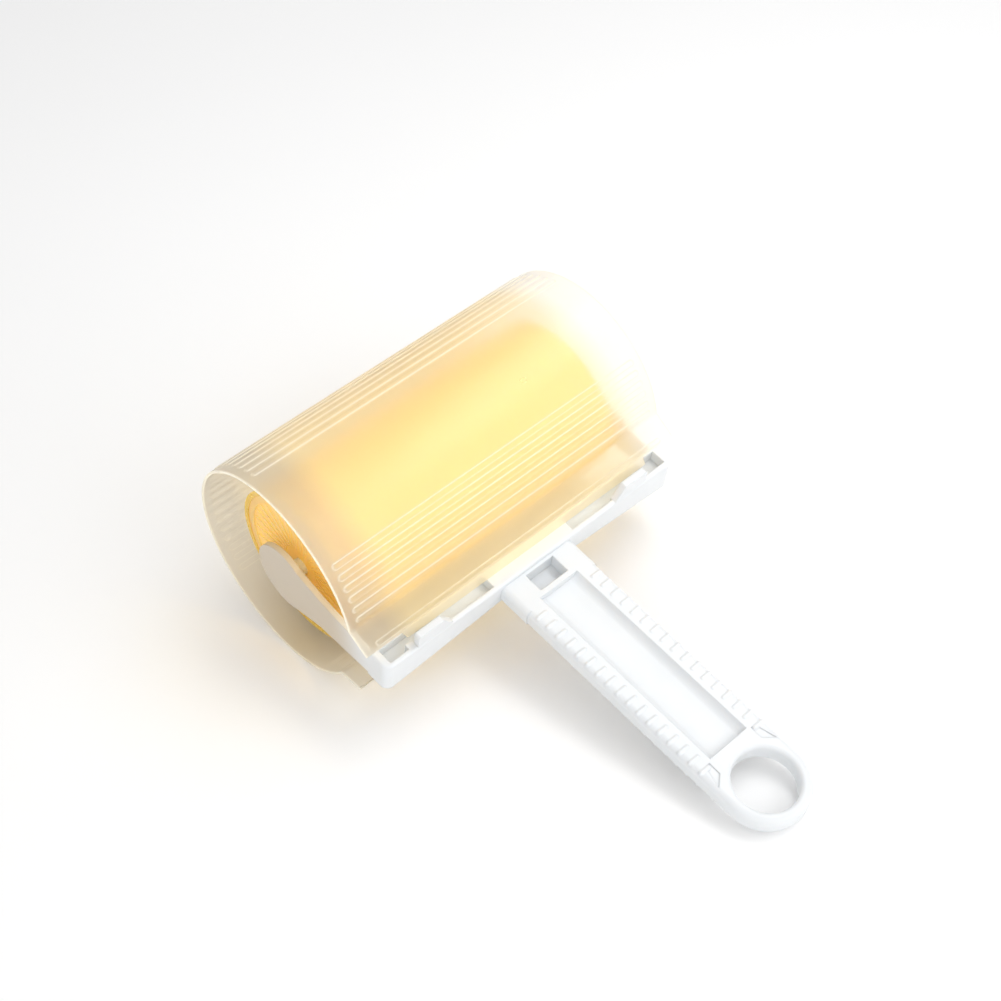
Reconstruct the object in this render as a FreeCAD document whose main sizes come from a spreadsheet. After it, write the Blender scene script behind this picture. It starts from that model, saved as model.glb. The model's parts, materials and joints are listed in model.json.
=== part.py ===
import FreeCAD, Part
import math
import os
import Sketcher

# Lint roller with a sticky gel drum, a one-piece white handle and a translucent clip-on cover.
# Design frame: X along the drum, -Y towards the handle, Z up from the handle's mid plane, with the
# origin close to the drum's axle. At the end everything is laid down together on a surface.

V = FreeCAD.Vector
doc = FreeCAD.newDocument("lint_roller")
sheet = doc.addObject("Spreadsheet::Sheet", "Sizes")

SIZES = [
    # cover
    ("cover_half", 56.0),
    ("cover_crest", 32.2),
    ("cover_sheet", 0.8),
    ("cover_centre_fore", 0.1),
    ("cover_centre_rise", 3.6),
    ("upper_kink_angle", 16.2),
    ("lower_kink_angle", 29.7),
    ("upper_flange_fall", 28.0),
    ("upper_flange_reach", 39.3),
    ("upper_flange_end_reach", 37.6),
    ("upper_flange_step", 43.8),
    ("step_below", 2.0),
    ("lower_flange_rise", 10.0),
    ("lower_flange_reach", 35.0),
    ("rib_height", 0.3),
    ("rib_width", 1.7),
    ("rib_half", 53.3),
    ("rib_pitch", 5.9),
    ("rib_root", 0.3),
    ("front_rib_first", 20.0),
    ("front_rib_count", 6),
    ("back_rib_first", 111.0),
    ("back_rib_count", 21),
    ("lower_rib_first", -50.5),
    ("lower_rib_count", 4),
    ("bead_reach", 36.4),
    ("bead_inset", 1.5),
    ("bead_narrowing", 0.8),
    # gel drum
    ("axle_back", 0.6),
    ("axle_drop", 2.1),
    ("gel_radius", 23.9),
    ("gel_half", 47.4),
    ("gel_thick", 1.6),
    ("core_wall", 2.0),
    ("core_half", 47.2),
    ("fit_gap", 0.05),
    ("cap_recess", 0.5),
    ("cap_plate", 1.6),
    ("cap_skirt", 6.0),
    ("cap_hub_radius", 6.5),
    ("cap_hub_length", 9.0),
    ("cap_rib_height", 0.35),
    ("cap_rib_width", 0.9),
    ("cap_rib_root", 0.2),
    ("cap_rib_count", 30),
    ("cap_rim_band", 0.6),
    ("axle_bore", 2.6),
    # arms and stub axles
    ("arm_face", 52.9),
    ("arm_thick", 1.7),
    ("boss_radius", 10.5),
    ("arm_mid_reach", 15.0),
    ("arm_mid_top", 4.8),
    ("arm_mid_bottom", 7.6),
    ("arm_root_top", 3.3),
    ("arm_root_bottom", 5.4),
    ("arm_lean", 58.0),
    ("arm_overlap", 1.0),
    ("stub_radius", 2.5),
    ("stub_length", 10.5),
    # crossbar
    ("bar_half", 52.9),
    ("bar_near", 34.4),
    ("bar_far", 41.9),
    ("bar_top", 4.3),
    ("bar_end_bottom", 6.3),
    ("bar_mid_bottom", 3.0),
    ("bar_corner", 2.4),
    ("bar_round", 0.7),
    ("tray_wall", 1.4),
    ("tray_end_wall", 2.3),
    ("tray_depth", 3.4),
    ("tray_roof", 1.1),
    ("tray_inner", 14.5),
    ("lug_start", 42.0),
    ("lug_end", 30.0),
    ("lug_near", 39.7),
    ("lug_top", 8.5),
    ("lug_setback", 0.15),
    ("lug_slope", 3.5),
    ("lug_chamfer", 0.5),
    ("tooth_start", 44.3),
    ("tooth_end", 41.9),
    ("tooth_near", 38.9),
    # handle
    ("grip_width", 25.2),
    ("ring_width", 24.4),
    ("grip_height", 6.0),
    ("grip_round", 1.8),
    ("root_width", 25.8),
    ("root_reach", 52.0),
    ("root_round", 1.8),
    ("weld", 0.5),
    ("root_overlap", 1.0),
    ("grip_overlap", 2.0),
    ("ring_reach", 126.2),
    ("hang_radius", 8.9),
    ("hang_round", 1.2),
    ("window_half", 5.0),
    ("window_near", 42.8),
    ("window_far", 48.8),
    ("window_depth", 4.4),
    ("channel_near", 50.5),
    ("channel_far", 113.0),
    ("channel_half", 6.9),
    ("channel_floor_half", 4.6),
    ("channel_depth", 2.2),
    ("channel_dish", 0.25),
    ("channel_bulge", 0.55),
    ("ridge_first", 54.6),
    ("ridge_pitch", 3.73),
    ("ridge_count", 17),
    ("ridge_inner", 7.9),
    ("ridge_outer", 12.1),
    ("ridge_radius", 0.85),
    ("ridge_sink", 0.58),
    ("gusset_near", 113.7),
    ("gusset_far", 120.0),
    ("gusset_inner", 7.8),
    ("gusset_outer", 10.9),
    ("gusset_turn", 2.6),
    ("gusset_top_width", 1.4),
    ("gusset_depth", 0.3),
]
for row, (alias, value) in enumerate(SIZES, 1):
    sheet.set("A%d" % row, alias)
    sheet.set("B%d" % row, str(value))
    sheet.setAlias("B%d" % row, alias)
doc.recompute()


def size(name):
    """The present value of a cell in the sheet."""
    return float(getattr(sheet, name))


def make_body(label):
    body = doc.addObject("PartDesign::Body", label)
    body.Label = label
    return body


def origin_plane(body, role):
    return [f for f in body.Origin.OriginFeatures if f.Role == role][0]


def new_sketch(body, name, role, offset=None):
    """A sketch on one of the body's own origin planes, moved by offset in that plane's axes."""
    sketch = body.newObject("Sketcher::SketchObject", name)
    sketch.AttachmentSupport = [(origin_plane(body, role), "")]
    sketch.MapMode = "FlatFace"
    if offset is not None:
        sketch.AttachmentOffset = offset
    return sketch


def lift(distance):
    """An attachment offset that moves a sketch along its plane's normal."""
    return FreeCAD.Placement(V(0, 0, distance), FreeCAD.Rotation())


def bound(sketch, kind, first, second, expression, start):
    """Add a distance from one point to another and tie it to an expression of the sheet."""
    number = sketch.addConstraint(Sketcher.Constraint(kind, *first, *second, start))
    sketch.setExpression("Constraints[%d]" % number, expression)


ORIGIN = (-1, 1)


def rectangle(sketch, left, right, bottom, top):
    """A rectangle whose four sides are expressions of the sheet, measured from the sketch origin."""
    x0, x1, y0, y1 = [sheet_value(text) for text in (left, right, bottom, top)]
    corners = [V(x0, y0, 0), V(x1, y0, 0), V(x1, y1, 0), V(x0, y1, 0)]
    ids = [
        sketch.addGeometry(Part.LineSegment(corners[i], corners[(i + 1) % 4]), False)
        for i in range(4)
    ]
    for i in range(4):
        sketch.addConstraint(Sketcher.Constraint("Coincident", ids[i], 2, ids[(i + 1) % 4], 1))
    for i in (0, 2):
        sketch.addConstraint(Sketcher.Constraint("Horizontal", ids[i]))
    for i in (1, 3):
        sketch.addConstraint(Sketcher.Constraint("Vertical", ids[i]))
    bound(sketch, "DistanceX", ORIGIN, (ids[0], 1), left, x0)
    bound(sketch, "DistanceY", ORIGIN, (ids[0], 1), bottom, y0)
    bound(sketch, "DistanceX", ORIGIN, (ids[2], 1), right, x1)
    bound(sketch, "DistanceY", ORIGIN, (ids[2], 1), top, y1)


def sheet_value(expression):
    """What an expression of the sheet works out to now."""
    probe = doc.getObject("Probe") or doc.addObject("App::FeaturePython", "Probe")
    if not hasattr(probe, "Value"):
        probe.addProperty("App::PropertyFloat", "Value")
    probe.setExpression("Value", expression)
    probe.recompute()
    return probe.Value


def circle(sketch, radius, down=None):
    """A circle of a bound radius, centred on the sketch origin or a bound distance below it."""
    centre = V(0, -sheet_value(down) if down else 0, 0)
    number = sketch.addGeometry(Part.Circle(centre, V(0, 0, 1), sheet_value(radius)), False)
    if down:
        sketch.addConstraint(Sketcher.Constraint("PointOnObject", number, 3, -2))
        bound(sketch, "DistanceY", (number, 3), ORIGIN, down, sheet_value(down))
    else:
        sketch.addConstraint(Sketcher.Constraint("Coincident", number, 3, *ORIGIN))
    place = sketch.addConstraint(Sketcher.Constraint("Radius", number, sheet_value(radius)))
    sketch.setExpression("Constraints[%d]" % place, radius)


def outline(sketch, pieces):
    """A closed outline of lines and arcs that follow one another, held where they are worked out."""
    ids = [sketch.addGeometry(piece, False) for piece in pieces]
    for number in ids:
        sketch.addConstraint(Sketcher.Constraint("Block", number))


def line(a, b):
    return Part.LineSegment(V(a[0], a[1], 0), V(b[0], b[1], 0))


def arc_through(a, b, c):
    return Part.Arc(V(a[0], a[1], 0), V(b[0], b[1], 0), V(c[0], c[1], 0))


def polyline(points):
    return [line(points[i], points[(i + 1) % len(points)]) for i in range(len(points))]


def pad(body, sketch, name, length, symmetric=False, reverse=False):
    feature = body.newObject("PartDesign::Pad", name)
    feature.Profile = sketch
    feature.setExpression("Length", length)
    feature.SideType = "Symmetric" if symmetric else "One side"
    feature.Reversed = reverse
    doc.recompute()
    return feature


def pocket(body, sketch, name, length, reverse=False, through=False):
    """A pocket, which has to take material away."""
    before = body.Shape.Volume
    feature = body.newObject("PartDesign::Pocket", name)
    feature.Profile = sketch
    if through:
        feature.Type = "ThroughAll"
        feature.SideType = "Symmetric"
    else:
        feature.setExpression("Length", length)
    feature.Reversed = reverse
    doc.recompute()
    if body.Shape.Volume > before - 0.1:
        raise RuntimeError(name + " cut nothing")
    return feature


def revolve(body, sketch, name):
    """A full turn of a half section about its sketch's own X axis."""
    feature = body.newObject("PartDesign::Revolution", name)
    feature.Profile = sketch
    feature.ReferenceAxis = (sketch, ["H_Axis"])
    feature.Angle = 360
    doc.recompute()
    return feature


def polar(body, name, original, count, angle):
    """Copies of a feature turned round the body's own X axis, count and angle as expressions."""
    feature = body.newObject("PartDesign::PolarPattern", name)
    feature.Originals = [original]
    feature.Axis = (origin_plane(body, "X_Axis"), [""])
    feature.setExpression("Occurrences", count)
    feature.setExpression("Angle", angle)
    body.Tip = feature
    doc.recompute()
    return feature


def mirror(body, name, originals, role):
    feature = body.newObject("PartDesign::Mirrored", name)
    feature.Originals = originals
    feature.MirrorPlane = (origin_plane(body, role), [""])
    body.Tip = feature
    doc.recompute()
    return feature


def fillet(body, name, radius, wanted):
    """Round the edges of the body so far that the test picks."""
    base = body.Tip
    names = ["Edge%d" % (i + 1) for i, edge in enumerate(base.Shape.Edges) if wanted(edge)]
    feature = body.newObject("PartDesign::Fillet", name)
    feature.Base = (base, names)
    feature.setExpression("Radius", radius)
    body.Tip = feature
    doc.recompute()


def box_of(edge):
    return edge.BoundBox


# ---------------------------------------------------------------- handle frame
def ridge_row(body, name, height, turned):
    """A row of round-ended bars across one rail; the other rail's row is drawn turned half round."""
    bar, left, right = size("ridge_radius"), -size("ridge_outer"), -size("ridge_inner")
    bend = bar * math.sqrt(0.5)
    half_turn = FreeCAD.Rotation(V(0, 0, 1), turned)
    place = FreeCAD.Placement(V(0, -size("ridge_first"), height), half_turn)
    sketch = new_sketch(body, name + "_outline", "XY_Plane", place)
    outline(sketch, [
        line((left, 0), (right, 0)),
        arc_through((right, 0), (right - bar + bend, bend), (right - bar, bar)),
        line((right - bar, bar), (left + bar, bar)),
        arc_through((left + bar, bar), (left + bar - bend, bend), (left, 0)),
    ])
    ridge = revolve(body, sketch, name)
    row = body.newObject("PartDesign::LinearPattern", name + "_row")
    row.Originals = [ridge]
    row.Direction = (origin_plane(body, "XZ_Plane"), [""])
    row.setExpression("Occurrences", "Sizes.ridge_count")
    row.setExpression("Length", "Sizes.ridge_pitch * (Sizes.ridge_count - 1)")
    body.Tip = row
    doc.recompute()


def build_handle_frame():
    body = make_body("handle_frame")

    # grip and hanging ring
    half, ring = size("grip_width") / 2, size("ring_width") / 2
    root = size("bar_far") - size("grip_overlap")
    tip = size("ring_reach")
    sketch = new_sketch(body, "grip_outline", "XY_Plane")
    outline(sketch, [
        line((half, -root), (-half, -root)),
        line((-half, -root), (-ring, -tip)),
        arc_through((-ring, -tip), (0, -tip - ring), (ring, -tip)),
        line((ring, -tip), (half, -root)),
    ])
    pad(body, sketch, "grip", "Sizes.grip_height", symmetric=True)
    rim = size("grip_height") / 2
    fillet(body, "grip_edges", "Sizes.grip_round",
           lambda e: abs(abs(box_of(e).ZMin) - rim) < 1e-6
           and box_of(e).ZLength < 1e-6 and box_of(e).YMin < -root - 1)

    # slightly wider root of the grip
    sketch = new_sketch(body, "root_outline", "XY_Plane")
    rectangle(sketch, "-Sizes.root_width / 2", "Sizes.root_width / 2",
              "-Sizes.root_reach", "-Sizes.bar_far + Sizes.root_overlap")
    pad(body, sketch, "root", "Sizes.grip_height", symmetric=True)
    root_edge = size("root_width") / 2
    fillet(body, "root_edges", "Sizes.root_round",
           lambda e: abs(abs(box_of(e).XMin) - root_edge) < 1e-6
           and abs(abs(box_of(e).ZMin) - rim) < 1e-6 and box_of(e).YLength > 5)

    # crossbar: deeper towards its ends, with rounded far corners
    top, deep_end, shallow = size("bar_top"), size("bar_end_bottom"), size("bar_mid_bottom")
    far, end = size("bar_far"), size("bar_half")
    sketch = new_sketch(body, "bar_outline", "XZ_Plane", lift(size("bar_near")))
    outline(sketch, polyline([
        (-end, -deep_end), (-root_edge, -shallow), (root_edge, -shallow), (end, -deep_end),
        (end, top), (-end, top),
    ]))
    pad(body, sketch, "bar", "Sizes.bar_far - Sizes.bar_near")
    fillet(body, "bar_corners", "Sizes.bar_corner",
           lambda e: abs(box_of(e).YMin + far) < 1e-6 and box_of(e).XLength < 1e-6
           and box_of(e).YLength < 1e-6 and abs(abs(box_of(e).XMin) - end) < 1e-6)
    fillet(body, "bar_edges", "Sizes.bar_round",
           lambda e: abs(box_of(e).ZMin - top) < 1e-6 and box_of(e).ZLength < 1e-6)

    # trays cored out of the crossbar from above and from below
    trays = (
        ("tray_top", top, "Sizes.tray_depth", False),
        ("tray_below", -deep_end, "Sizes.bar_end_bottom - Sizes.tray_roof", True),
    )
    for name, height, depth, turned in trays:
        sketch = new_sketch(body, name + "_outline", "XY_Plane", lift(height))
        rectangle(sketch, "-Sizes.bar_half + Sizes.tray_end_wall", "-Sizes.tray_inner",
                  "-Sizes.bar_far + Sizes.tray_wall", "-Sizes.bar_near - Sizes.tray_wall")
        cut = pocket(body, sketch, name, depth, reverse=turned)
        mirror(body, name + "_mirror", [cut], "YZ_Plane")

    # snap lugs that stand against the cover's flange, and a small tooth beside each
    sketch = new_sketch(body, "lug_outline", "XZ_Plane", lift(size("lug_near")))
    start, stop, peak = -size("lug_start"), -size("lug_end"), size("lug_top")
    floor, chamfer = top - size("tray_depth") - size("weld"), size("lug_chamfer")
    outline(sketch, polyline([
        (start, floor), (stop, floor), (stop, top), (stop - size("lug_slope"), peak),
        (start + chamfer, peak), (start, peak - chamfer),
    ]))
    lug = pad(body, sketch, "lug", "Sizes.bar_far - Sizes.lug_near - Sizes.lug_setback")
    sketch = new_sketch(body, "tooth_outline", "XY_Plane", lift(floor))
    rectangle(sketch, "-Sizes.tooth_start", "-Sizes.tooth_end",
              "-Sizes.bar_far + Sizes.root_overlap", "-Sizes.tooth_near")
    tooth = pad(body, sketch, "tooth", "Sizes.tray_depth + Sizes.weld")
    mirror(body, "lug_mirror", [lug, tooth], "YZ_Plane")

    # arms: a round boss about the axle that narrows to a blade
    boss = size("boss_radius")
    hub = V(size("axle_back"), -size("axle_drop"), 0)
    mid, near = -size("arm_mid_reach"), -size("bar_near") - size("arm_overlap")
    lean = math.radians(size("arm_lean"))
    high = (hub.x - boss * math.cos(lean), hub.y + boss * math.sin(lean))
    low = (hub.x - boss * math.cos(lean), hub.y - boss * math.sin(lean))
    sketch = new_sketch(body, "arm_outline", "YZ_Plane", lift(-size("arm_face")))
    outline(sketch, [
        arc_through(high, (hub.x + boss, hub.y), low),
        line(low, (mid, -size("arm_mid_bottom"))),
        line((mid, -size("arm_mid_bottom")), (near, -size("arm_root_bottom"))),
        line((near, -size("arm_root_bottom")), (near, size("arm_root_top"))),
        line((near, size("arm_root_top")), (mid, size("arm_mid_top"))),
        line((mid, size("arm_mid_top")), high),
    ])
    arm = pad(body, sketch, "arm", "Sizes.arm_thick")
    sketch = new_sketch(body, "stub_outline", "YZ_Plane", lift(size("weld") - size("arm_face")))
    outline(sketch, [Part.Circle(hub, V(0, 0, 1), size("stub_radius"))])
    stub = pad(body, sketch, "stub", "Sizes.arm_thick + Sizes.stub_length - Sizes.weld")
    mirror(body, "arm_mirror", [arm, stub], "YZ_Plane")

    # window pocket at the root of the grip
    sketch = new_sketch(body, "window_outline", "XY_Plane", lift(rim))
    rectangle(sketch, "-Sizes.window_half", "Sizes.window_half",
              "-Sizes.window_far", "-Sizes.window_near")
    pocket(body, sketch, "window", "Sizes.window_depth")

    # sloping channels along the grip, above and below
    wide, narrow = size("channel_half"), size("channel_floor_half")
    deep, dished = rim - size("channel_depth"), size("channel_dish")
    for name, side in (("channel_top", 1), ("channel_below", -1)):
        sketch = new_sketch(body, name + "_outline", "XZ_Plane", lift(size("channel_near")))
        high, low, dish = side * (rim + size("weld")), side * (deep + dished), side * deep
        # each side wall is hollow: steep at the rim and nearly level where it meets the floor
        run, fall = wide - narrow, high - low
        bulge = size("channel_bulge") / math.hypot(run, fall)
        knee = (wide - run / 2 + abs(fall) * bulge, low + fall / 2 - side * run * bulge)
        outline(sketch, [
            line((-wide, high), (wide, high)),
            arc_through((wide, high), knee, (narrow, low)),
            arc_through((narrow, low), (0, dish), (-narrow, low)),
            arc_through((-narrow, low), (-knee[0], knee[1]), (-wide, high)),
        ])
        pocket(body, sketch, name, "Sizes.channel_far - Sizes.channel_near", reverse=True)

    # hanging hole with rounded rims
    sketch = new_sketch(body, "hang_outline", "XY_Plane")
    circle(sketch, "Sizes.hang_radius", "Sizes.ring_reach")
    pocket(body, sketch, "hang_hole", "Sizes.grip_height", through=True)
    hang = size("hang_radius")
    fillet(body, "hang_rims", "Sizes.hang_round",
           lambda e: abs(box_of(e).XLength - 2 * hang) < 1e-4
           and abs(abs(box_of(e).ZMin) - rim) < 1e-6)

    # small sunk facets where the grip's rails run into the ring
    inner, outer = size("gusset_inner"), size("gusset_outer")
    first, last = -size("gusset_near"), -size("gusset_far")
    turn, top_width = size("gusset_turn"), size("gusset_top_width")
    sketch = new_sketch(body, "gusset_outline", "XY_Plane", lift(rim))
    outline(sketch, polyline([
        (-outer, last), (-inner, last + turn), (-inner, first), (-inner - top_width, first),
    ]))
    gusset = pocket(body, sketch, "gusset", "Sizes.gusset_depth")
    mirror(body, "gusset_mirror", [gusset], "YZ_Plane")

    # grip ridges: rounded bars across both rails, above and below
    for level, side in (("top", 1), ("below", -1)):
        for hand, turned in (("left", 0), ("right", 180)):
            ridge_row(body, "ridge_%s_%s" % (level, hand), side * (rim - size("ridge_sink")), turned)
    return body


# ---------------------------------------------------------------- cover
def build_cover():
    """A springy sheet, C-shaped round the roller, with flanges that reach over the crossbar.
    The body's origin is at the centre of its round part."""
    body = make_body("cover")
    crest, thick = size("cover_crest"), size("cover_sheet")
    outer = crest - size("rib_height")
    inner = outer - thick
    fore, rise = size("cover_centre_fore"), size("cover_centre_rise")

    def at(radius, angle):
        """A point of the section at an angle above the handle's direction."""
        return (-radius * math.cos(math.radians(angle)), radius * math.sin(math.radians(angle)))

    def flange(kink_angle, slope, reach):
        """Outer and inner corners of a flange that runs from the kink to its free edge."""
        start_out, start_in = at(outer, kink_angle), at(inner, kink_angle)
        run = reach - fore + start_out[0]
        rise_per_run = math.tan(math.radians(slope))
        tip_out = (start_out[0] - run, start_out[1] + run * rise_per_run)
        sign = -1 if kink_angle > 0 else 1
        drop = sign * thick / math.cos(math.radians(slope))
        # where the flange's inner face meets the inner arc's end, at the same kink
        tip_in = (tip_out[0], tip_out[1] + drop)
        heel_in = (start_in[0], start_out[1] + drop + (start_out[0] - start_in[0]) * rise_per_run)
        return start_out, tip_out, tip_in, heel_in

    up_out, up_tip, up_tip_in, up_heel = flange(
        size("upper_kink_angle"), -size("upper_flange_fall"), size("upper_flange_reach"))
    low_out, low_tip, low_tip_in, low_heel = flange(
        -size("lower_kink_angle"), size("lower_flange_rise"), size("lower_flange_reach"))
    up_heel_angle = math.degrees(math.atan2(up_heel[1], -up_heel[0]))
    low_heel_angle = math.degrees(math.atan2(low_heel[1], -low_heel[0]))
    up_in = at(inner, up_heel_angle)
    low_in = at(inner, low_heel_angle)

    sketch = new_sketch(body, "section", "YZ_Plane")
    outline(sketch, [
        arc_through(up_out, (outer, 0), low_out),
        line(low_out, low_tip),
        line(low_tip, low_tip_in),
        line(low_tip_in, low_in),
        arc_through(low_in, (inner, 0), up_in),
        line(up_in, up_tip_in),
        line(up_tip_in, up_tip),
        line(up_tip, up_out),
    ])
    pad(body, sketch, "sheet", "2 * Sizes.cover_half", symmetric=True)

    # the upper flange is narrower towards both ends
    sketch = new_sketch(body, "step_outline", "XY_Plane", lift(-size("step_below")))
    rectangle(sketch, "-Sizes.cover_half - Sizes.weld", "-Sizes.upper_flange_step",
              "-Sizes.upper_flange_reach + Sizes.cover_centre_fore - Sizes.weld",
              "-Sizes.upper_flange_end_reach + Sizes.cover_centre_fore")
    step = pocket(body, sketch, "step", "Sizes.cover_crest", reverse=True)
    mirror(body, "step_mirror", [step], "YZ_Plane")

    # embossed ribs in three groups round the sheet
    groups = ("front_rib", "back_rib", "lower_rib")
    half, width, rib_root = size("rib_half"), size("rib_width") / 2, size("rib_root")
    for name in groups:
        turn = FreeCAD.Rotation(V(1, 0, 0), 90 - size(name + "_first"))
        place = FreeCAD.Placement(turn.multVec(V(0, 0, outer - rib_root)), turn)
        sketch = new_sketch(body, name + "_outline", "XY_Plane", place)
        outline(sketch, [
            line((-half + width, -width), (half - width, -width)),
            arc_through((half - width, -width), (half, 0), (half - width, width)),
            line((half - width, width), (-half + width, width)),
            arc_through((-half + width, width), (-half, 0), (-half + width, -width)),
        ])
        rib = pad(body, sketch, name, "Sizes.rib_height + Sizes.rib_root")
        group = polar(body, name + "_group", rib, "Sizes.%s_count" % name,
                      "Sizes.rib_pitch * (Sizes.%s_count - 1)" % name)
        group.Reversed = True
        doc.recompute()

    # bead along the upper flange
    slope = -size("upper_flange_fall")
    run = size("bead_reach") - fore + up_out[0]
    foot = (up_out[0] - run, up_out[1] + run * math.tan(math.radians(slope)))
    turn = FreeCAD.Rotation(V(1, 0, 0), -slope)
    place = FreeCAD.Placement(V(0, foot[0], foot[1]) + turn.multVec(V(0, 0, -rib_root)), turn)
    sketch = new_sketch(body, "bead_outline", "XY_Plane", place)
    bead_half, bead_width = half - size("bead_inset"), width * size("bead_narrowing")
    outline(sketch, [
        line((-bead_half, -bead_width), (bead_half, -bead_width)),
        arc_through((bead_half, -bead_width), (bead_half + bead_width, 0), (bead_half, bead_width)),
        line((bead_half, bead_width), (-bead_half, bead_width)),
        arc_through((-bead_half, bead_width), (-bead_half - bead_width, 0),
                    (-bead_half, -bead_width)),
    ])
    pad(body, sketch, "bead", "Sizes.rib_height + Sizes.rib_root")
    return body, V(0, -fore, rise)


# ---------------------------------------------------------------- gel drum
def turned_ring(label, inner, outer, half):
    """A plain tube about X, as a half section turned round the axis."""
    body = make_body(label)
    sketch = new_sketch(body, label + "_section", "XZ_Plane")
    rectangle(sketch, "-(%s)" % half, half, inner, outer)
    revolve(body, sketch, label + "_turned")
    return body


def build_end_cap(label, side):
    """A disc pressed into the end of the core: hub bored for a stub axle, radial ribs outside.
    It is drawn for the -X end; the other end's cap is the same piece turned round."""
    body = make_body(label)
    end = -size("core_half") + size("cap_recess")
    plate, skirt = size("cap_plate"), size("cap_skirt")
    edge = size("gel_radius") - size("gel_thick") - size("core_wall") - 2 * size("fit_gap")
    hub, hub_long, bore = size("cap_hub_radius"), size("cap_hub_length"), size("axle_bore")
    sketch = new_sketch(body, "half_section", "XZ_Plane")
    outline(sketch, polyline([
        (end, bore), (end, edge), (end + skirt, edge), (end + skirt, edge - plate),
        (end + plate, edge - plate), (end + plate, hub), (end + hub_long, hub),
        (end + hub_long, bore),
    ]))
    revolve(body, sketch, "disc")

    sketch = new_sketch(body, "rib_outline", "YZ_Plane", lift(end - size("cap_rib_height")))
    rectangle(sketch, "-Sizes.cap_rib_width / 2", "Sizes.cap_rib_width / 2",
              "Sizes.cap_hub_radius", "%.6f - Sizes.cap_rim_band" % edge)
    rib = pad(body, sketch, "rib", "Sizes.cap_rib_height + Sizes.cap_rib_root")
    polar(body, "ribs", rib, "Sizes.cap_rib_count", "360")
    if side > 0:
        body.Placement = FreeCAD.Placement(V(0, 0, 0), FreeCAD.Rotation(V(0, 0, 1), 180))
    return body


frame = build_handle_frame()
cover, cover_place = build_cover()
gel = turned_ring("gel_sleeve", "Sizes.gel_radius - Sizes.gel_thick", "Sizes.gel_radius",
                  "Sizes.gel_half")
core = turned_ring(
    "roller_core",
    "Sizes.gel_radius - Sizes.gel_thick - Sizes.fit_gap - Sizes.core_wall",
    "Sizes.gel_radius - Sizes.gel_thick - Sizes.fit_gap", "Sizes.core_half")
left_cap = build_end_cap("left_end_cap", -1)
right_cap = build_end_cap("right_end_cap", 1)
cover.Placement = FreeCAD.Placement(cover_place, FreeCAD.Rotation())
axle = FreeCAD.Placement(V(0, size("axle_back"), -size("axle_drop")), FreeCAD.Rotation())
for part in (gel, core, left_cap, right_cap):
    part.Placement = axle.multiply(part.Placement)

# ---------------------------------------------------------------- laid down on a surface
# The cover's round back and the end of the ring both rest on the surface. The line from the
# cover's centre to the ring's lowest point already falls a little; the rest is the tilt.
ring_end = size("ring_reach") + size("ring_width") / 2
reach = ring_end - size("grip_round") - size("cover_centre_fore")
drop = size("grip_height") / 2 + size("cover_centre_rise")
slant = math.hypot(reach, drop)
tilt = math.degrees(math.asin(size("cover_crest") / slant)) - math.degrees(math.atan2(drop, reach))
lay = FreeCAD.Rotation(V(1, 0, 0), tilt)
parts = [frame, cover, gel, core, left_cap, right_cap]
for part in parts:
    part.Placement = FreeCAD.Placement(V(0, 0, 0), lay).multiply(part.Placement)
doc.recompute()
whole = Part.makeCompound([part.Shape for part in parts]).optimalBoundingBox(False, False)
shift = V(-whole.Center.x, -whole.Center.y, -whole.ZMin)
for part in parts:
    part.Placement = FreeCAD.Placement(shift, FreeCAD.Rotation()).multiply(part.Placement)
doc.recompute()

# ---------------------------------------------------------------- checks and files
for thing in doc.Objects:
    if "Invalid" in thing.State or "Error" in thing.State:
        raise RuntimeError("%s failed: %s" % (thing.Label, thing.State))
os.makedirs("parts", exist_ok=True)
for part in parts:
    shape = part.Shape
    if shape.isNull() or not shape.isValid() or len(shape.Solids) != 1:
        raise RuntimeError("%s has no single valid solid" % part.Label)
for part in parts:
    part.Shape.exportStep("parts/%s.step" % part.Label)
print("tilt %.4f degrees, shift %s" % (tilt, [round(c, 4) for c in shift]))
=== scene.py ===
import json
import math

import bmesh
import bpy
from mathutils import Matrix, Vector


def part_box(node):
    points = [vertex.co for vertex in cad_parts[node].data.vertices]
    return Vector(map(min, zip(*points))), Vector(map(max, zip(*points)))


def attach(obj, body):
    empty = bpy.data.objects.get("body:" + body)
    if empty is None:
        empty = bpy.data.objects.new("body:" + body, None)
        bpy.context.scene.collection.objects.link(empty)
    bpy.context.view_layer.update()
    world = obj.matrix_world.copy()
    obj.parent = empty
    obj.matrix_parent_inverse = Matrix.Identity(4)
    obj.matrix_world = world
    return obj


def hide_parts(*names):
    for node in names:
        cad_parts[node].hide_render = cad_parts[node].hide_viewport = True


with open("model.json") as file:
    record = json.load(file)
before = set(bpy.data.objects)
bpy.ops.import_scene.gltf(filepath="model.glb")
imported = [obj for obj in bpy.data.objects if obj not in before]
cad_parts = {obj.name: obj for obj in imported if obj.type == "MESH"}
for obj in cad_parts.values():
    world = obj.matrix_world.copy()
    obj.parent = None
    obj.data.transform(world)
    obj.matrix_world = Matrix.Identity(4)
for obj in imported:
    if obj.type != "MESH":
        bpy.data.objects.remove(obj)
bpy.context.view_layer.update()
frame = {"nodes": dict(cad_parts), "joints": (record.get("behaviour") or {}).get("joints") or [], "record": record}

MM = 0.001
DRIFT_FROM, DRIFT_TO = 0.3, 0.7      # noise values between which a drifting colour changes
BEVEL_SAMPLES = 6
CAD_CREASE, SHEET_CREASE = 35, 50    # degrees between two faces from which their edge is sharp

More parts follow.
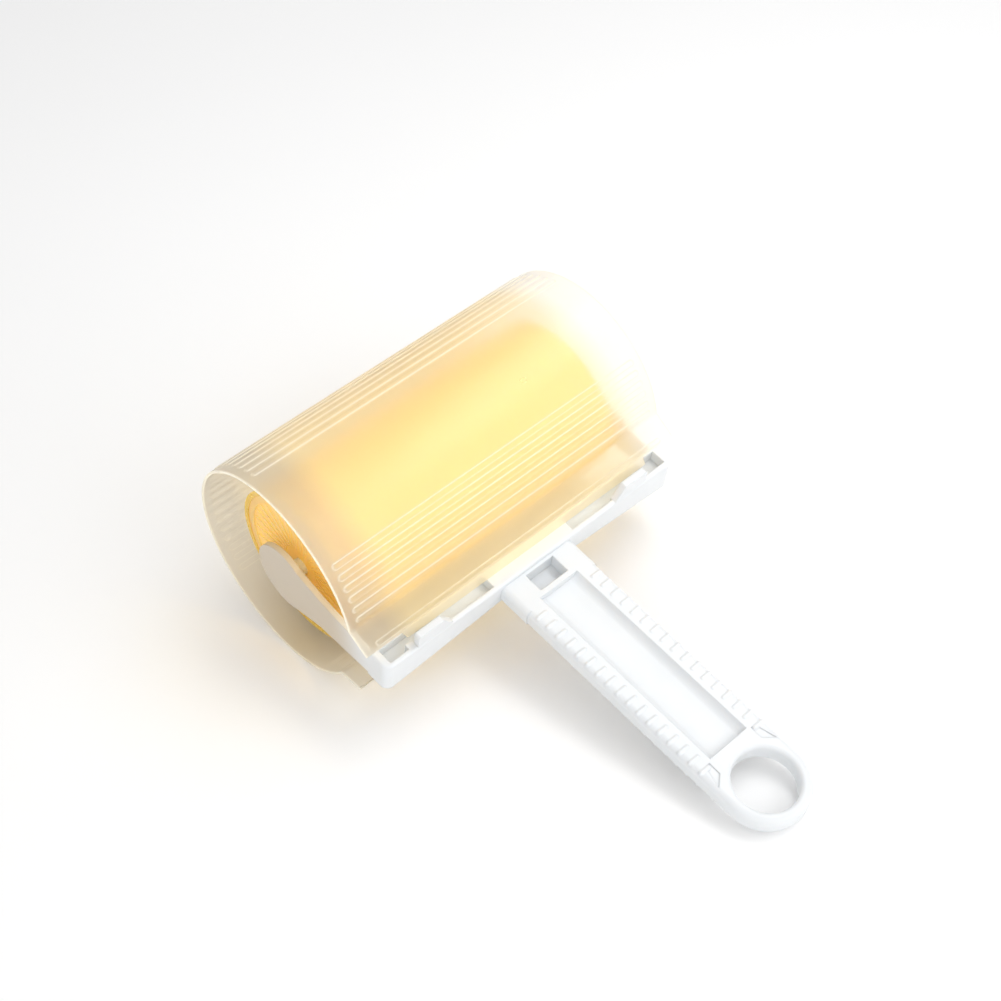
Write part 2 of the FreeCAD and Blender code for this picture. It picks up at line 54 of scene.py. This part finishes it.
# ------------------------------------------------------------------ the frame's own geometry
# Everything is placed from the hanging hole, which lies in the handle's mid plane. Reach is counted
# from a line along the drum, close to the cover's middle and RING_REACH from the hole.
RING_REACH = 126.2           # mm
record = frame["record"]
joint = {j["name"]: j for j in frame["joints"]}
axle = Vector(joint["roller_spin"]["pos_m"])
hole = [m for m in record["mounts"] if m["name"] == "hang_hole"][0]
hang = Vector(hole["pos_m"])
up = Vector(hole["axis"]).normalized()            # the handle plane's normal
across = Vector((1, 0, 0))                        # along the drum
ahead = across.cross(up).normalized()             # from the handle to the drum
if ahead.dot(axle - hang) < 0:
    ahead.negate()


def place(x, reach, rise):
    """The row frame point that is x mm along the drum, reach mm towards the ring and rise mm up
    from the handle's mid plane."""
    return hang + (across * x + ahead * (RING_REACH - reach) + up * rise) * MM


# ------------------------------------------------------------------ helpers
def new_object(name, data):
    obj = bpy.data.objects.new(name, data)
    bpy.context.scene.collection.objects.link(obj)
    return obj


def smooth(mesh, crease):
    """Smooth shading, apart from the edges where two faces meet at more than crease degrees."""
    for polygon in mesh.polygons:
        polygon.use_smooth = True
    mesh.set_sharp_from_angle(angle=math.radians(crease))


class Nodes:
    """A small helper that builds a node tree by hand."""

    def __init__(self, name):
        self.material = bpy.data.materials.new(name)
        self.material.use_nodes = True
        self.tree = self.material.node_tree
        self.tree.nodes.clear()
        self.out = self.add("ShaderNodeOutputMaterial")
        self.coords = self.add("ShaderNodeTexCoord").outputs["Object"]

    def add(self, kind, **values):
        node = self.tree.nodes.new(kind)
        for key, value in values.items():
            setattr(node, key, value)
        return node

    def link(self, a, b):
        self.tree.links.new(a, b)

    def noise(self, scale, detail):
        node = self.add("ShaderNodeTexNoise")
        node.inputs["Scale"].default_value = scale
        node.inputs["Detail"].default_value = detail
        self.link(self.coords, node.inputs["Vector"])
        return node.outputs["Fac"]

    def span(self, value, low, high):
        node = self.add("ShaderNodeMapRange")
        self.link(value, node.inputs["Value"])
        node.inputs["To Min"].default_value = low
        node.inputs["To Max"].default_value = high
        return node.outputs["Result"]

    def axis(self, name):
        """Where a point is along one of the object's own axes."""
        split = self.add("ShaderNodeSeparateXYZ")
        self.link(self.coords, split.inputs["Vector"])
        return split.outputs[name]

    def calculate(self, operation, first, second=None):
        node = self.add("ShaderNodeMath", operation=operation)
        self.link(first, node.inputs[0])
        if second is not None:
            self.link(second, node.inputs[1])
        return node.outputs["Value"]

    def band(self, value, start, end):
        """0 below start and 1 above end, with a soft change between."""
        node = self.add("ShaderNodeMapRange", interpolation_type="SMOOTHSTEP")
        node.inputs["From Min"].default_value = start
        node.inputs["From Max"].default_value = end
        self.link(value, node.inputs["Value"])
        return node.outputs["Result"]

    def ramp(self, value, stops):
        node = self.add("ShaderNodeValToRGB")
        ramp = node.color_ramp
        while len(ramp.elements) < len(stops):
            ramp.elements.new(0.5)
        for element, (at, colour) in zip(ramp.elements, stops):
            element.position = at
            element.color = (*colour, 1)
        self.link(value, node.inputs["Fac"])
        return node.outputs["Color"]

    def mix(self, first, second, share):
        node = self.add("ShaderNodeMixShader")
        if isinstance(share, float):
            node.inputs["Fac"].default_value = share
        else:
            self.link(share, node.inputs["Fac"])
        self.link(first, node.inputs[1])
        self.link(second, node.inputs[2])
        return node.outputs["Shader"]

    def blend_colours(self, first, colour, share):
        """From a colour that varies to a fixed one, by share."""
        node = self.add("ShaderNodeMix", data_type="RGBA")
        self.link(share, node.inputs[0])
        self.link(first, node.inputs[6])
        node.inputs[7].default_value = (*colour, 1)
        return node.outputs[2]

    def share_along_x(self, half):
        """0 at the object's -X end and 1 at its +X end."""
        node = self.add("ShaderNodeMapRange")
        node.inputs["From Min"].default_value = -half
        node.inputs["From Max"].default_value = half
        self.link(self.axis("X"), node.inputs["Value"])
        return node.outputs["Result"]

    def drift(self, scale, detail, first, second):
        """A colour that wanders between two others over the surface."""
        return self.ramp(self.noise(scale, detail), [(DRIFT_FROM, first), (DRIFT_TO, second)])

    def cloud_over(self, colour, scale, detail, darkest):
        """The colour, down to darkest times as bright in places."""
        grey = self.drift(scale, detail, (darkest,) * 3, (1.0, 1.0, 1.0))
        node = self.add("ShaderNodeMix", data_type="RGBA", blend_type="MULTIPLY")
        node.inputs[0].default_value = 1
        self.link(colour, node.inputs[6])
        self.link(grey, node.inputs[7])
        return node.outputs[2]

    def let_light_through(self, shader, tint):
        """Finish the material: lamps shine on through this surface, coloured by tint."""
        clear = self.add("ShaderNodeBsdfTransparent")
        clear.inputs["Color"].default_value = (*tint, 1)
        path = self.add("ShaderNodeLightPath")
        self.link(self.mix(shader, clear.outputs["BSDF"], path.outputs["Is Shadow Ray"]),
                  self.out.inputs["Surface"])

    def bump(self, height, strength, distance, soft_edge=None):
        node = self.add("ShaderNodeBump")
        if soft_edge:
            bevel = self.add("ShaderNodeBevel", samples=BEVEL_SAMPLES)
            bevel.inputs["Radius"].default_value = soft_edge
            self.link(bevel.outputs["Normal"], node.inputs["Normal"])
        node.inputs["Strength"].default_value = strength
        node.inputs["Distance"].default_value = distance
        self.link(height, node.inputs["Height"])
        return node.outputs["Normal"]


def principled(nodes, **values):
    shader = nodes.add("ShaderNodeBsdfPrincipled")
    for key, value in values.items():
        shader.inputs[key.replace("_", " ")].default_value = value
    return shader


# ------------------------------------------------------------------ materials
DRUM_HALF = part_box("gel_sleeve")[1].x
SHEET_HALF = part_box("cover")[1].x
ARM_INSIDE, ARM_EDGE = 0.0511, 0.0004        # where the arms' inner faces stand, and a soft start: the bounds of the arms' painted shade
ARM_ROOT, ARM_NECK = 0.018, 0.034            # where the arms leave the crossbar and clear it: the painted shade's span along Y
COLOUR_CHANGE = 0.07                         # share of the sheet over which its painted light and shade change


def white_plastic():
    """Satin white, a touch blue; the thin arms beside the amber drum carry painted shade, darker and warmer, for
    the shadow inside the cover's mouth and the drum's warm bounce light.
    """
    n = Nodes("white_plastic")
    shader = principled(n, IOR=1.49, Subsurface_Weight=0.2, Subsurface_Scale=0.004)
    shader.inputs["Subsurface Radius"].default_value = (1.0, 0.9, 0.8)
    white = n.drift(60, 3, (0.75, 0.775, 0.795), (0.778, 0.795, 0.81))
    beside = n.band(n.calculate("ABSOLUTE", n.axis("X")), ARM_INSIDE - ARM_EDGE, ARM_INSIDE)
    behind = n.band(n.axis("Y"), ARM_ROOT, ARM_NECK)
    painted_shade_on_arms = n.calculate("MULTIPLY", beside, behind)
    # painted shade: the arms turn darker and warmer, standing for the shadow inside the cover's mouth and warm
    # light from the amber drum
    n.link(n.blend_colours(white, (0.6, 0.525, 0.42), painted_shade_on_arms), shader.inputs["Base Color"])
    n.link(n.span(n.noise(350, 4), 0.3, 0.42), shader.inputs["Roughness"])
    grain = n.bump(n.noise(2500, 2), 0.15, 0.00004, soft_edge=0.0005)
    n.link(grain, shader.inputs["Normal"])
    n.link(shader.outputs["BSDF"], n.out.inputs["Surface"])
    return n.material


def sticky_gel():
    """Glossy, faintly wavy gel that light soaks into."""
    n = Nodes("sticky_gel")
    shader = principled(n, IOR=1.45, Coat_Weight=0.4, Coat_Roughness=0.15,
                        Subsurface_Weight=0.35, Subsurface_Scale=0.006)
    shader.inputs["Subsurface Radius"].default_value = (1.0, 0.6, 0.2)
    yellow = n.drift(45, 3, (0.9, 0.55, 0.065), (0.93, 0.59, 0.085))
    n.link(yellow, shader.inputs["Base Color"])
    n.link(n.span(n.noise(200, 3), 0.2, 0.35), shader.inputs["Roughness"])
    n.link(n.bump(n.noise(120, 2), 0.25, 0.0003), shader.inputs["Normal"])
    n.let_light_through(shader.outputs["BSDF"], (0.97, 0.91, 0.74))
    return n.material


def amber_plastic():
    """Moulded translucent plastic: it passes light on as well as sending it back."""
    n = Nodes("amber_plastic")
    shader = principled(n, IOR=1.49, Subsurface_Weight=0.6, Subsurface_Scale=0.008)
    shader.inputs["Subsurface Radius"].default_value = (1.0, 0.6, 0.2)
    tint = n.drift(70, 3, (0.96, 0.81, 0.36), (0.98, 0.84, 0.41))
    n.link(tint, shader.inputs["Base Color"])
    n.link(n.span(n.noise(300, 3), 0.3, 0.42), shader.inputs["Roughness"])
    n.link(n.bump(n.noise(2200, 2), 0.15, 0.00004), shader.inputs["Normal"])
    soak = n.add("ShaderNodeBsdfTranslucent")
    n.link(tint, soak.inputs["Color"])
    plastic = n.mix(shader.outputs["BSDF"], soak.outputs["BSDF"], 0.4)
    n.let_light_through(plastic, (0.975, 0.94, 0.82))
    return n.material


def painted_light_along_sheet(n, shaded_open_end, drum, lit_far_end):
    """Painted light and shade along the sheet: one colour past the drum's -X end (painted shade), another along
    the drum (a painted glow from the gel behind) and a third past its +X end (painted light).
    """
    end = (1 - DRUM_HALF / SHEET_HALF) / 2
    stops = (end, end + COLOUR_CHANGE, 1 - end - COLOUR_CHANGE, 1 - end)
    return n.ramp(n.share_along_x(SHEET_HALF), list(zip(stops, (shaded_open_end, drum, drum, lit_far_end))))


def frosted_sheet():
    """Thin milky sheet: rough glass that blurs what is behind it, with haze in the plastic. Its colour
    carries painted light along X: creamy along the drum, a painted glow from the gel behind; greyer at
    the open -X end, painted shade; near-white at the +X end, painted light. The sides of the embossed
    ribs and the rims, marked on the mesh, are whiter: partly the plastic's own stronger scattering
    there, partly a painted highlight."""
    n = Nodes("frosted_sheet")
    normal = n.bump(n.noise(1800, 3), 0.2, 0.00003)
    side = n.add("ShaderNodeAttribute", attribute_name="rib_side_whitening_and_highlight")
    # painted light and shade: the haze colour changes along X, not with the lamps: darker at the open end, the
    # gel's glow along the drum, lightest at the +X end
    tint = painted_light_along_sheet(n, (0.75, 0.71, 0.63), (0.94, 0.865, 0.63), (0.985, 0.975, 0.95))
    tint = n.cloud_over(tint, 40, 3, 0.97)
    # painted highlight: the ribs' sides and the rims are whitened and made cloudier, partly the plastic's own
    # stronger scattering there
    tint = n.blend_colours(tint, (1.0, 0.98, 0.9), side.outputs["Fac"])
    # the glass is tinted the same way: painted shade at the open end, a painted glow along the drum, painted light
    # at the +X end
    through = painted_light_along_sheet(n, (0.88, 0.84, 0.75), (0.965, 0.935, 0.855), (0.995, 0.99, 0.98))
    glass = principled(n, IOR=1.22, Transmission_Weight=1.0)
    n.link(through, glass.inputs["Base Color"])
    n.link(n.span(n.noise(90, 3), 0.26, 0.32), glass.inputs["Roughness"])
    n.link(normal, glass.inputs["Normal"])
    haze = n.add("ShaderNodeBsdfTranslucent")
    n.link(tint, haze.inputs["Color"])
    skin = principled(n, IOR=1.49, Roughness=0.24)
    n.link(tint, skin.inputs["Base Color"])
    n.link(normal, skin.inputs["Normal"])
    cloudy = n.mix(haze.outputs["BSDF"], skin.outputs["BSDF"], 0.42)
    sheet = n.mix(glass.outputs["BSDF"], cloudy, n.span(side.outputs["Fac"], 0.38, 0.95))
    n.let_light_through(sheet, (0.9, 0.865, 0.78))
    return n.material


def pale_floor():
    n = Nodes("pale_floor")
    shader = principled(n, Roughness=0.8)
    pale = n.drift(6, 2, (0.965, 0.965, 0.965), (0.975, 0.975, 0.975))
    n.link(pale, shader.inputs["Base Color"])
    n.link(shader.outputs["BSDF"], n.out.inputs["Surface"])
    return n.material


WHITE = white_plastic()
GEL = sticky_gel()
AMBER = amber_plastic()
FROST = frosted_sheet()

for node, material in (("handle_frame", WHITE), ("gel_sleeve", GEL), ("roller_core", AMBER),
                       ("left_end_cap", AMBER), ("right_end_cap", AMBER), ("cover", FROST)):
    obj = frame["nodes"][node]
    obj.data.materials.clear()
    obj.data.materials.append(material)
    smooth(obj.data, CAD_CREASE)

# ------------------------------------------------------------------ the cover's embossed sheet
# Lengths in mm, angles in degrees; the angles open upwards from the handle side.
COVER_HALF = 56.0                            # half length along the drum
CREST = 32.2                                 # radius over the ribs
EMBOSS = 0.3                                 # height of a rib
WALL = 0.8                                   # thickness of the sheet
CENTRE = (0.1, 3.6)                          # reach and rise of the round part's centre
UPPER_KINK, LOWER_KINK = 16.2, -29.7         # where the flanges leave the round part
UPPER_FALL, LOWER_RISE = 28.0, 10.0          # the flanges' slopes
UPPER_TIP, UPPER_END_TIP, LOWER_TIP = 39.3, 37.6, 35.0    # reach of the flanges' edges
STEP_AT, STEP_BLEND = 43.8, 0.8              # where the upper edge steps back near the ends
BEAD_REACH, BEAD_HALF, BEAD_WIDTH = 36.4, 51.8, 1.36      # the upper flange's bead
RIB_HALF, RIB_WIDTH, RIB_EDGE = 53.3, 1.7, 0.2            # half length, width, width of a side
RIB_PITCH = 5.9
RIB_GROUPS = ((20.0, 6), (111.0, 21), (-50.5, 4))         # first rib's angle, number of ribs
RIM_TAPER = 0.12                             # share of the wall by which the end edges are eased
RIM_BAND = 0.3                               # width of the paler band at each end, whiter plastic and a painted highlight
SIDE_SPREAD = 8.0                            # how widely the paler band covers a rib's side
INNER_SHARE = 0.7                            # how strongly a rib's sides show on the inner face
FLANGE_STEPS, ARC_STEP = 14, 1.6             # faces across a flange, spacing round the arc
EDGE_GAP = 0.3                               # no extra points this close to the upper edge
PLAIN_STATIONS = (0, 15, 30, 40)             # places along the drum where nothing changes
# groups of places close together: centre, how far they spread either way, number
STATION_GROUPS = ((STEP_AT, STEP_BLEND / 2, 5), (BEAD_HALF, 1.0, 8), (RIB_HALF, 1.3, 12))
RIM_STATIONS = (1.2, 0.5, 0.2, 0)            # in from each end


def ease(t):
    t = min(1.0, max(0.0, t))
    return t * t * (3 - 2 * t)


def round_point(radius, angle):
    """Reach and rise of a point on the round part."""
    turn = math.radians(angle)
    return Vector((CENTRE[0] + radius * math.cos(turn), CENTRE[1] + radius * math.sin(turn)))


def flange_tip(kink, slope, reach):
    root = round_point(CREST - EMBOSS, kink)
    return Vector((reach, root.y + (reach - root.x) * math.tan(math.radians(slope))))


RIB_ANGLES = [first + RIB_PITCH * k for first, count in RIB_GROUPS for k in range(count)]


def arc_angles():
    """Angles round the sheet from kink to kink, close together where a rib's sides rise."""
    per_mm = math.degrees(1 / CREST)
    half, edge = RIB_WIDTH / 2, RIB_EDGE
    offsets = [0, half - edge, half - edge / 2, half, half + edge / 2, half + edge]
    angles = {UPPER_KINK, 360 + LOWER_KINK}
    for angle in RIB_ANGLES:
        angle = angle % 360
        for offset in offsets:
            angles.update((round(angle + offset * per_mm, 4), round(angle - offset * per_mm, 4)))
    plain = UPPER_KINK
    while plain < 360 + LOWER_KINK:
        if min(abs(plain - other) for other in angles) > ARC_STEP / 3:
            angles.add(round(plain, 4))
        plain += ARC_STEP
    return sorted(a for a in angles if UPPER_KINK <= a <= 360 + LOWER_KINK)


def rib_height(x, sideways, half_length, width):
    """Height of a flat-topped, round-ended rib at x along it and sideways from its middle line."""
    past = max(0.0, abs(x) - (half_length - width / 2))
    outside = math.hypot(past, sideways) - width / 2
    return EMBOSS * ease(0.5 - outside / (2 * RIB_EDGE))


def wall_share(lift):
    """1 along the middle of a rib's side and 0 on its top and beside it."""
    part = lift / EMBOSS
    return min(1.0, SIDE_SPREAD * part * (1 - part))


def section(x):
    """The sheet's outer and inner outlines at x, from the upper flange's edge to the lower one's,
    and how far each outer point is a rib's side."""
    skin = CREST - EMBOSS
    middle = ease(0.5 + (STEP_AT - abs(x)) / STEP_BLEND)      # 1 between the steps, 0 past them
    tip_reach = UPPER_END_TIP + (UPPER_TIP - UPPER_END_TIP) * middle
    tip, heel = flange_tip(UPPER_KINK, -UPPER_FALL, tip_reach), round_point(skin, UPPER_KINK)
    outer, inner, walls = [], [], []
    down = (tip - heel).normalized()
    normal = Vector((-down.y, down.x))
    half, edge = BEAD_WIDTH / 2, RIB_EDGE
    bead = (BEAD_REACH - heel.x) / down.x
    length = (tip - heel).length
    stations = [length * k / FLANGE_STEPS for k in range(FLANGE_STEPS)]
    stations += [bead + sign * (half + shift) for sign in (-1, 1) for shift in (-edge, 0, edge)]
    stations = sorted(s for s in stations if 0 <= s <= length - EDGE_GAP) + [length]
    for s in reversed(stations[1:]):
        lift = rib_height(x, s - bead, BEAD_HALF, BEAD_WIDTH)
        point = heel + down * s
        outer.append(point + normal * lift)
        inner.append(point - normal * WALL)
        walls.append(wall_share(lift))
    for angle in ARC_ANGLES:
        lift = 0.0
        for rib in RIB_ANGLES:
            apart = (angle - rib + 180) % 360 - 180
            if abs(apart) < RIB_PITCH:
                lift = max(lift, rib_height(x, math.radians(apart) * CREST, RIB_HALF, RIB_WIDTH))
        outer.append(round_point(skin + lift, angle))
        inner.append(round_point(skin - WALL, angle))
        walls.append(wall_share(lift))
    heel, tip = round_point(skin, LOWER_KINK), flange_tip(LOWER_KINK, LOWER_RISE, LOWER_TIP)
    out = (tip - heel).normalized()
    normal = Vector((out.y, -out.x))
    for k in range(1, FLANGE_STEPS + 1):
        point = heel + (tip - heel) * k / FLANGE_STEPS
        outer.append(point)
        inner.append(point - normal * WALL)
        walls.append(0.0)
    return outer, inner, walls


def cover_stations():
    """Places along the drum, close together at the rib ends, the bead ends and the step."""
    stops = list(PLAIN_STATIONS) + [COVER_HALF - inward for inward in RIM_STATIONS]
    for centre, spread, count in STATION_GROUPS:
        stops += [centre + spread * (2 * k / (count - 1) - 1) for k in range(count)]
    stops = sorted(set(round(s, 3) for s in stops))
    return [-s for s in reversed(stops[1:])] + stops


ARC_ANGLES = arc_angles()


def cover_sheet():
    """A closed sheet: outer skin, inner skin and the four edges between them."""
    mesh = bmesh.new()
    side = mesh.verts.layers.float.new("rib_side_whitening_and_highlight")
    rings = []
    for x in cover_stations():
        taper = RIM_TAPER if abs(x) == COVER_HALF else 0.0
        ring = []
        for a, b, wall in zip(*section(x)):
            pair = []
            for point in (a.lerp(b, taper), b.lerp(a, taper)):
                vertex = mesh.verts.new(place(x, point.x, point.y))
                # the rims and the ribs' sides are marked paler: whiter plastic there, and a painted highlight
                if abs(x) > COVER_HALF - RIM_BAND:
                    vertex[side] = 1.0
                else:
                    vertex[side] = wall if not pair else INNER_SHARE * wall
                pair.append(vertex)
            ring.append(pair)
        rings.append(ring)
    count = len(rings[0])
    for left, right in zip(rings, rings[1:]):
        for k in range(count - 1):
            mesh.faces.new((left[k][0], right[k][0], right[k + 1][0], left[k + 1][0]))
            mesh.faces.new((left[k][1], left[k + 1][1], right[k + 1][1], right[k][1]))
        for k in (0, count - 1):
            mesh.faces.new((left[k][0], left[k][1], right[k][1], right[k][0]))
    for ring in (rings[0], rings[-1]):
        for k in range(count - 1):
            mesh.faces.new((ring[k][0], ring[k + 1][0], ring[k + 1][1], ring[k][1]))
    bmesh.ops.recalc_face_normals(mesh, faces=mesh.faces[:])
    data = bpy.data.meshes.new("cover_sheet")
    mesh.to_mesh(data)
    mesh.free()
    smooth(data, SHEET_CREASE)
    sheet = new_object("cover_sheet", data)
    data.materials.append(FROST)
    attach(sheet, "cover")
    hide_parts("cover")


cover_sheet()

# ------------------------------------------------------------------ floor, light, camera
FLOOR_SIZE = 6.0                     # m
bpy.ops.mesh.primitive_plane_add(size=FLOOR_SIZE, location=(0, 0, 0))
floor = bpy.context.object
floor.name = "floor"
floor.data.materials.append(pale_floor())

SKY_LEFT, SKY_RIGHT = 0.48, 0.71     # strength at the -X and +X walls
world = bpy.data.worlds.new("studio")
bpy.context.scene.world = world
world.use_nodes = True
sky = world.node_tree.nodes["Background"]
sky.inputs["Color"].default_value = (1, 1, 1, 1)
# the studio is brighter on the +X side: a smooth change from wall to wall
sky_nodes, sky_links = world.node_tree.nodes, world.node_tree.links
direction = sky_nodes.new("ShaderNodeTexCoord")
split = sky_nodes.new("ShaderNodeSeparateXYZ")
level = sky_nodes.new("ShaderNodeMapRange")
for name, value in (("From Min", -1), ("From Max", 1), ("To Min", SKY_LEFT), ("To Max", SKY_RIGHT)):
    level.inputs[name].default_value = value
sky_links.new(direction.outputs["Generated"], split.inputs["Vector"])
sky_links.new(split.outputs["X"], level.inputs["Value"])
sky_links.new(level.outputs["Result"], sky.inputs["Strength"])


def softbox(name, azimuth, elevation, distance, width, height, power, target):
    """An area light that looks at target from an angle; azimuth 0 is in front of the ring."""
    a, e = math.radians(azimuth), math.radians(elevation)
    away = Vector((-math.sin(a) * math.cos(e), -math.cos(a) * math.cos(e), math.sin(e)))
    data = bpy.data.lights.new(name, "AREA")
    data.shape = "RECTANGLE"
    data.size, data.size_y, data.energy = width, height, power
    lamp = new_object(name, data)
    lamp.location = Vector(target) + away * distance
    lamp.rotation_euler = (-away).to_track_quat("-Z", "Y").to_euler()


# name, azimuth, elevation, distance, width, height, power, what it looks at
centre = Vector((0, 0, 0.03))
softbox("key", 288, 63, 0.42, 0.3, 0.12, 0.5, centre + Vector((0.02, 0.02, 0)))
softbox("back", 205, 62, 1.3, 1.5, 1.2, 1.3, centre)
softbox("front", 335, 30, 1.3, 1.2, 0.9, 6.0, centre)
softbox("left", 60, 28, 1.3, 1.2, 0.9, 5.4, centre)

CAMERA_AZIMUTH, CAMERA_ELEVATION, CAMERA_ROLL = 39.25, 46.30, -4.70
CAMERA_PLACE = Vector((-0.2056, -0.2278, 0.3788))
FOCAL_LENGTH, SENSOR = 63.32, 36             # mm

azimuth, elevation = math.radians(CAMERA_AZIMUTH), math.radians(CAMERA_ELEVATION)
view = Vector((math.sin(azimuth) * math.cos(elevation), math.cos(azimuth) * math.cos(elevation),
               -math.sin(elevation)))
lens = bpy.data.cameras.new("camera")
lens.sensor_width = SENSOR
lens.lens = FOCAL_LENGTH
camera = new_object("camera", lens)
camera.rotation_mode = "QUATERNION"
camera.rotation_quaternion = (view.to_track_quat("-Z", "Y").to_matrix()
                              @ Matrix.Rotation(math.radians(CAMERA_ROLL), 3, "Z")).to_quaternion()
camera.location = CAMERA_PLACE
bpy.context.scene.camera = camera
bpy.context.scene.view_settings.view_transform = "Standard"
